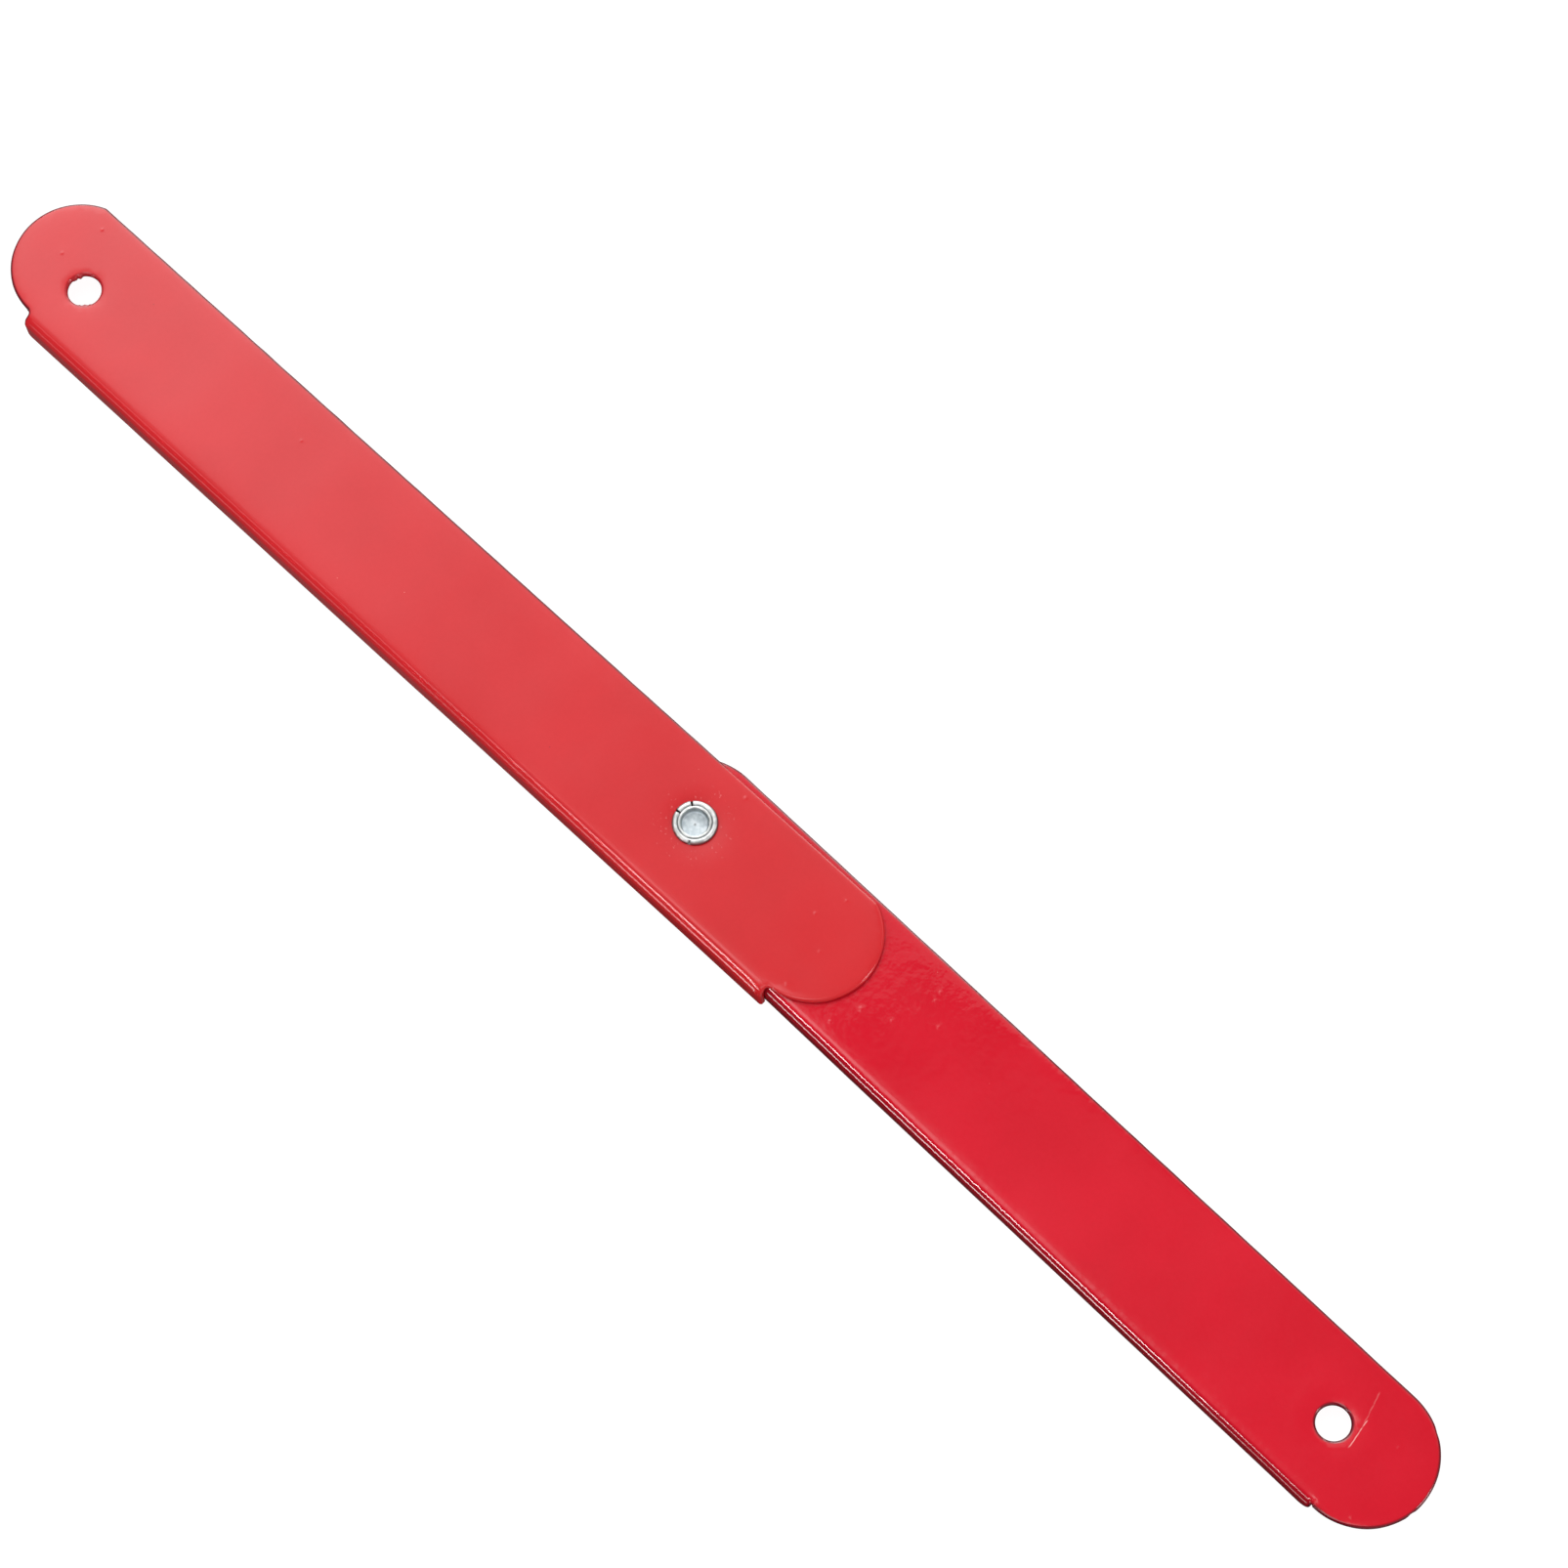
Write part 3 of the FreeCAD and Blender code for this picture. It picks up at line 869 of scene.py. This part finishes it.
def specks(tree, place, spacing, radius, rarity):
    """Small round spots on one cell in so many."""
    cells = node(tree, "TexVoronoi", {"Vector": place, "Scale": 1 / spacing})
    lot = node(tree, "SeparateColor", {0: cells["Color"]})[0]
    chosen = maths(tree, "GREATER_THAN", lot, 1 - 1 / rarity)
    near = between(tree, cells["Distance"], SPECK_CORE * radius / spacing, radius / spacing, 1.0, 0.0)
    return product(tree, chosen, near)


def scratch(tree, start, stop, width, share):
    """Thin line between two points, which are given in millimetres from the rivet."""
    start = rivet_place / MM + Vector(start)
    along = rivet_place / MM + Vector(stop) - start
    side = Vector((-along.y, along.x, 0)).normalized()
    place = vector_maths(tree, "SUBTRACT", millimetres(tree), start)
    run = vector_maths(tree, "DOT_PRODUCT", place, along / along.length_squared, "Value")
    away = vector_maths(tree, "DOT_PRODUCT", place, side, "Value")
    bend = product(tree, noise(tree, millimetres(tree), SCRATCH_WANDER), SCRATCH_SWING)
    away = maths(tree, "SUBTRACT", total(tree, away, SCRATCH_SWING / 2), bend)
    line = between(tree, maths(tree, "ABSOLUTE", away), SCRATCH_CORE * width, width, 1.0, 0.0)
    ends = product(tree, between(tree, run, *SCRATCH_START), between(tree, run, *SCRATCH_STOP))
    return product(tree, product(tree, line, ends), share)


def paint_colour(tree, place, deep, light):
    """Paint that drifts between two shades, with a fine grain."""
    drift = between(tree, noise(tree, place, *DRIFT), *MOST)
    grain = between(tree, noise(tree, place, *GRAIN), *GRAIN_RANGE)
    share = total(tree, product(tree, drift, 1 - GRAIN_SHARE), product(tree, grain, GRAIN_SHARE))
    return blended(tree, share, deep, light)


def enamel(name, rims, marks, deep, light, roughness, peel, fold):
    """Baked red enamel over steel.

    rims(tree), if there is one, is the share of dark painted shade to lay along an edge, and
    marks(tree, place) the share of scuffed paint.
    """
    material, tree = new_material(name)
    place = millimetres(tree)
    colour = paint_colour(tree, place, deep, light)
    turned = node(tree, "Attribute", attribute_name="turned")["Fac"]
    # Painted shade on the turned-down side of the bend.
    colour = blended(tree, between(tree, turned, *BEND_SHADE_RANGE, 0.0, fold), colour, BEND_PAINTED_SHADE)
    edge = node(tree, "Attribute", attribute_name="edge")["Fac"]
    # Painted shade along the edges.
    edge_shade = between(tree, edge, *EDGE_SHADE_RANGE)
    if rims:
        edge_shade = product(tree, edge_shade, rims(tree))
    colour = blended(tree, edge_shade, colour, EDGE_PAINTED_SHADE)
    dark = specks(tree, place, *DARK_SPECKS)
    colour = blended(tree, product(tree, dark, DARK_SPECK_SHARE), colour, DARK_SPECK_SHADE)
    pale = specks(tree, vector_maths(tree, "ADD", place, PALE_SPECK_SHIFT), *PALE_SPECKS)
    colour = blended(tree, product(tree, pale, PALE_SPECK_SHARE), colour, PALE_SPECK_SHADE)
    colour = blended(tree, marks(tree, place), colour, SCUFF_SHADE)
    smudge = noise(tree, place, *SMUDGE)
    wide = product(tree, noise(tree, place, *PEEL_WIDE), 1 - PEEL_FINE_SHARE)
    fine = product(tree, noise(tree, place, *PEEL_FINE), PEEL_FINE_SHARE)
    relief = total(tree, wide, fine, product(tree, pale, PALE_SPECK_HEIGHT))
    paint = node(tree, "BsdfPrincipled", {
        "Base Color": colour,
        "Roughness": between(tree, smudge, *SMUDGE_RANGE, roughness, roughness + SMUDGE_DULLING),
        "IOR": PAINT_IOR,
        "Normal": bumped(tree, relief, peel),
    })[0]
    node(tree, "OutputMaterial", {"Surface": paint})
    return material


def outer_marks(tree, place):
    """Faint rubbing round the rivet, where the clinching tool sat."""
    gap = distance_across(tree, rivet_place)
    streaks = between(tree, noise(tree, place, *RUB_STREAKS), *RUB_STREAKS_RANGE)
    return product(tree, between(tree, gap, *RUB_INNER), between(tree, gap, *RUB_OUTER), streaks, RUB_SHARE)


def outer_edge_shade(tree):
    """Painted shade: 1 on every edge of the outer link but the ones over the inner link, and less at the
    hole.
    """
    way = node(tree, "SeparateXYZ", {0: millimetres(tree, rivet_place)})
    lap = product(tree, between(tree, way["Y"], *LAP_ACROSS), between(tree, way["X"], *LAP_ALONG))
    flange_tip = between(tree, way["X"], *FLANGE_TIP)
    hole = between(tree, distance_across(tree, mounts["outer_end_hole"]["pos_m"]), *HOLE_RANGE)
    return maths(tree, "SUBTRACT", 1.0, largest(tree, lap, flange_tip, hole))


def inner_marks(tree, place):
    """Two scratches beside the end hole, on the top face."""
    height = node(tree, "SeparateXYZ", {0: millimetres(tree, rivet_place)})["Z"]
    broken = between(tree, noise(tree, place, *SCRATCH_GAPS), *SCRATCH_GAPS_RANGE)
    both = largest(tree, scratch(tree, *FAINT_SCRATCH), scratch(tree, *BRIGHT_SCRATCH))
    return product(tree, both, broken, between(tree, height, *TOP_FACE))


def zinc_colour(tree, place, gap):
    """Pale bowl, darker crest, and painted shade: grey in the creases and at the foot, dark in the splits.
    """
    cloud = between(tree, noise(tree, place, *CLOUD), *MOST)
    crest = blended(tree, cloud, *CREST_SHADES)
    bowl = blended(tree, cloud, *BOWL_SHADES)
    colour = blended(tree, between(tree, gap, *BOWL_RANGE), bowl, crest)
    # Painted shade in the creases.
    for radius, width in CREASES:
        away = maths(tree, "ABSOLUTE", maths(tree, "SUBTRACT", gap, radius))
        crease_shade = between(tree, away, CREASE_CORE, width, CREASE_SHARE, 0.0)
        colour = blended(tree, crease_shade, colour, CREASE_PAINTED_SHADE)
    # Painted contact shadow at the foot.
    colour = blended(tree, between(tree, gap, *FOOT_SHADOW_RANGE), colour, FOOT_PAINTED_SHADOW)
    # Painted shade in the splits.
    slot = node(tree, "Attribute", attribute_name="slot")["Fac"]
    return blended(tree, slot, colour, SPLIT_PAINTED_SHADE)


def zinc():
    """Zinc plating, dull in the clinch's bowl and polished on its crest, with the tool's rings."""
    material, tree = new_material("zinc_plate")
    place = millimetres(tree, rivet_place)
    gap = distance_across(tree, rivet_place)
    polish = between(tree, noise(tree, place, *POLISH), *POLISH_RANGE)
    rings = node(tree, "TexWave", {"Vector": place, **TOOL_RINGS}, wave_type="RINGS", rings_direction="Z")
    relief = total(tree, product(tree, rings["Fac"], TOOL_RINGS_SHARE), noise(tree, place, *PLATING))
    metal = node(tree, "BsdfPrincipled", {
        "Base Color": zinc_colour(tree, place, gap),
        "Metallic": 1.0,
        "Roughness": largest(tree, polish, between(tree, gap, *BOWL_DULLNESS)),
        "Normal": bumped(tree, relief, PLATING_HEIGHT),
    })[0]
    node(tree, "OutputMaterial", {"Surface": metal})
    return material


outer.data.materials.append(enamel("outer_enamel", outer_edge_shade, outer_marks, **OUTER_PAINT))
inner.data.materials.append(enamel("inner_enamel", None, inner_marks, **INNER_PAINT))
clinched.data.materials.append(zinc())


# ---------------------------------------------------------------------------------------------
# Stage

# Metres unless said otherwise, with places measured from the rivet.
CAMERA_AWAY = 0.8915
CAMERA_AROUND = math.radians(45.12)
CAMERA_ABOVE = math.radians(71.78)
CAMERA_ROLL = math.radians(-1.70)
AIM = Vector((7.5, 18.91, 0.0)) * MM
LENS = 98.6                         # millimetres
SENSOR = 36
CLIP = (0.01, 50)

FLOOR_HALF = 3.0
FLOOR_CLOUD = 300.0                 # millimetres
FLOOR_GLOW = (0.94, 0.96)
FLOOR_SHADE = (0.12, 0.12, 0.12, 1)

LAMP_PLACE = Vector((-0.30, 0.12, 1.40))
LAMP_SIZE = 1.0
LAMP_POWER = 10.5                   # watts

WHITE = (1, 1, 1, 1)
AMBIENT = 0.80

# The sky that the paint mirrors. Tilt is the angle from overhead towards -Y, in degrees, and
# lean is how far a light leans to +X. A range is (from, to, strength at from, strength at to).
HORIZON = 0.05                      # least height that a lean is worked out from
ROOM_LEAN = (-0.32, -0.22, 0.42, 0.10)
ROOM_TILT = (24.0, 45.0, 1.0, 0.2)
SIDE_LEAN = (0.4, 0.9, 0.0, 0.35)
KEY_LEAN = (-0.53, -0.25, 2.75, 0.56)
KEY_TILT = (-32.0, 12.0, 1.64, 0.16)
HAZE_LEAN = (-0.12, 0.0, 0.24, 0.10)
BROAD_LEAN = (-0.21, -0.04, 3.2, 0.3)
BROAD_START = (-1.0, 9.0)           # tilt, and half width of the border
FIRST_LEAN = (-0.30, -0.20, 2.0, 33.0)
SECOND_LEAN = (-0.30, -0.18, 1.6, 13.0)
STRIP_FADE = (-0.09, -0.055, 1.0, 0.28)

# The strips are slanted: their tilt slides with the shifted lean, within limits.
SLIDE_SHIFT = 0.17
SLIDE = 167.0
SLIDE_LIMITS = (-20.0, 15.0)
# So are the ends of the key light and of the haze, whose lean slides with the shifted tilt.
SLANT_SHIFT = 13.0
SLANT = 0.012
SLANT_LIMITS = (-4.0, 2.0)

# Windows of light lie between two tilts and two leans, with borders of these half widths.
Window = namedtuple("Window", "tilts leans tilt_border lean_border")
KEY = Window((-75, 22), (-1.5, -0.174), 1.0, 0.015)
HAZE = Window((-38, 2), (-0.142, 0.30), 1.5, 0.022)
BACK = Window((-75, -27), (-0.25, 0.30), 7.0, 0.05)
BACK_EDGE = Window((-90, -43), (-0.26, -0.15), 3.0, 0.03)
BROAD = Window((-90, 23), (-0.25, 0.15), 8.0, 0.03)
FIRST_STRIP = Window((53, 59), (-0.50, 0.03), 1.5, 0.03)
SECOND_STRIP = Window((105, 115), (-0.50, 0.03), 2.0, 0.03)
FRONT = Window((5, 55), (0.02, 0.30), 6.0, 0.03)
SIDE = Window((-34, -12), (0.85, 1.35), 4.0, 0.05)
BACK_LIGHT = 0.9
BACK_EDGE_LIGHT = 2.6
FRONT_LIGHT = 2.2
SIDE_LIGHT = 12.0


def rise(tree, value, middle, border):
    """0 below the middle, 1 above it, over a blurred border of this half width."""
    return between(tree, value, middle - border, middle + border)


def fall(tree, value, middle, border):
    """1 below the middle, 0 above it."""
    return between(tree, value, middle - border, middle + border, 1.0, 0.0)


def softbox(tree, window, tilt, lean):
    """1 inside a window of light."""
    return product(
        tree,
        rise(tree, tilt, window.tilts[0], window.tilt_border),
        fall(tree, tilt, window.tilts[1], window.tilt_border),
        rise(tree, lean, window.leans[0], window.lean_border),
        fall(tree, lean, window.leans[1], window.lean_border),
    )


def sky_places(tree):
    """Tilt and lean of each direction."""
    way = node(tree, "SeparateXYZ", {0: node(tree, "TexCoord")["Generated"]})
    tilt = maths(tree, "DEGREES", maths(tree, "ARCTAN2", product(tree, way["Y"], -1.0), way["Z"]))
    height = maths(tree, "SQRT", maths(tree, "SUBTRACT", 1.0, product(tree, way["X"], way["X"])))
    return tilt, maths(tree, "DIVIDE", way["X"], largest(tree, height, HORIZON))


def reflections(tree):
    """Strength of the soft lights that the paint and the plating mirror, over the whole sky."""
    tilt, lean = sky_places(tree)
    slide = clamped(tree, product(tree, total(tree, lean, SLIDE_SHIFT), SLIDE), *SLIDE_LIMITS)
    slid = maths(tree, "SUBTRACT", tilt, slide)
    slant = clamped(tree, total(tree, tilt, SLANT_SHIFT), *SLANT_LIMITS)
    slanted = total(tree, lean, product(tree, slant, SLANT))
    fade = between(tree, lean, *STRIP_FADE)
    key = product(tree, between(tree, lean, *KEY_LEAN), between(tree, tilt, *KEY_TILT))
    haze = between(tree, lean, *HAZE_LEAN)
    broad = product(tree, between(tree, lean, *BROAD_LEAN), rise(tree, tilt, *BROAD_START))
    first = product(tree, between(tree, lean, *FIRST_LEAN), fade)
    second = product(tree, between(tree, lean, *SECOND_LEAN), fade)
    boxes = (
        (KEY, tilt, slanted, key),
        (HAZE, tilt, slanted, haze),
        (BACK, tilt, lean, BACK_LIGHT),
        (BACK_EDGE, tilt, lean, BACK_EDGE_LIGHT),
        (BROAD, slid, lean, broad),
        (FIRST_STRIP, slid, lean, first),
        (SECOND_STRIP, slid, lean, second),
        (FRONT, tilt, lean, FRONT_LIGHT),
        (SIDE, tilt, lean, SIDE_LIGHT),
    )
    room = product(tree, between(tree, lean, *ROOM_LEAN), between(tree, tilt, *ROOM_TILT))
    lights = total(tree, room, between(tree, lean, *SIDE_LEAN))
    for window, down, across, strength in boxes:
        lights = total(tree, lights, product(tree, softbox(tree, window, down, across), strength))
    return lights


def studio():
    """The surroundings: white to the camera, even light for the paint's colour, soft lights to mirror."""
    world = bpy.data.worlds.new("studio")
    bpy.context.scene.world = world
    world.use_nodes = True
    tree = world.node_tree
    tree.nodes.clear()
    ray = node(tree, "LightPath")
    even = node(tree, "Background", {"Color": WHITE, "Strength": AMBIENT})[0]
    mirrored = node(tree, "Background", {"Color": WHITE, "Strength": reflections(tree)})[0]
    white = node(tree, "Background", {"Color": WHITE, "Strength": 1.0})[0]
    both = node(tree, "MixShader", {0: ray["Is Glossy Ray"], 1: even, 2: mirrored})[0]
    all_rays = node(tree, "MixShader", {0: ray["Is Camera Ray"], 1: both, 2: white})[0]
    node(tree, "OutputWorld", {"Surface": all_rays})


def lamp():
    """Soft lamp over the outer link. Its own reflection is left to the world's lights."""
    data = bpy.data.lights.new("lamp", "AREA")
    data.shape = "DISK"
    data.size = LAMP_SIZE
    data.energy = LAMP_POWER
    body = bpy.data.objects.new("lamp", data)
    body.location = rivet_place + LAMP_PLACE
    body.rotation_mode = "QUATERNION"
    body.rotation_quaternion = (rivet_place - body.location).to_track_quat("-Z", "Y")
    body.visible_glossy = False
    bpy.context.scene.collection.objects.link(body)


def floor_material():
    """White, with faint shadows from above and clear from beneath, to show the underside."""
    material, tree = new_material("white_floor")
    cloud = noise(tree, millimetres(tree), FLOOR_CLOUD)
    glow = node(tree, "Emission", {"Strength": between(tree, cloud, 0.0, 1.0, *FLOOR_GLOW)})[0]
    soft = node(tree, "BsdfDiffuse", {"Color": FLOOR_SHADE})[0]
    above = node(tree, "AddShader", {0: glow, 1: soft})[0]
    beneath = node(tree, "NewGeometry")["Backfacing"]
    clear = node(tree, "BsdfTransparent")[0]
    node(tree, "OutputMaterial", {"Surface": node(tree, "MixShader", {0: beneath, 1: above, 2: clear})[0]})
    return material


def floor():
    """Large floor under the brace, which stays out of the paint's reflections."""
    low = cad_low[2]
    half = FLOOR_HALF
    mesh = bpy.data.meshes.new("floor")
    corners = [(-half, -half, low), (half, -half, low), (half, half, low), (-half, half, low)]
    mesh.from_pydata(corners, [], [(0, 1, 2, 3)])
    mesh.materials.append(floor_material())
    plane = bpy.data.objects.new("floor", mesh)
    bpy.context.scene.collection.objects.link(plane)
    plane.visible_diffuse = False
    plane.visible_glossy = False


def camera():
    data = bpy.data.cameras.new("camera")
    data.lens = LENS
    data.sensor_width = SENSOR
    data.clip_start, data.clip_end = CLIP
    back = Vector((
        math.sin(CAMERA_AROUND) * math.cos(CAMERA_ABOVE),
        -math.cos(CAMERA_AROUND) * math.cos(CAMERA_ABOVE),
        math.sin(CAMERA_ABOVE),
    ))
    eye = bpy.data.objects.new("camera", data)
    eye.rotation_mode = "QUATERNION"
    eye.location = rivet_place + AIM + back * CAMERA_AWAY
    eye.rotation_quaternion = (-back).to_track_quat("-Z", "Y") @ Quaternion((0, 0, 1), CAMERA_ROLL)
    bpy.context.scene.collection.objects.link(eye)
    bpy.context.scene.camera = eye


studio()
lamp()
floor()
camera()
bpy.context.scene.view_settings.view_transform = "Standard"
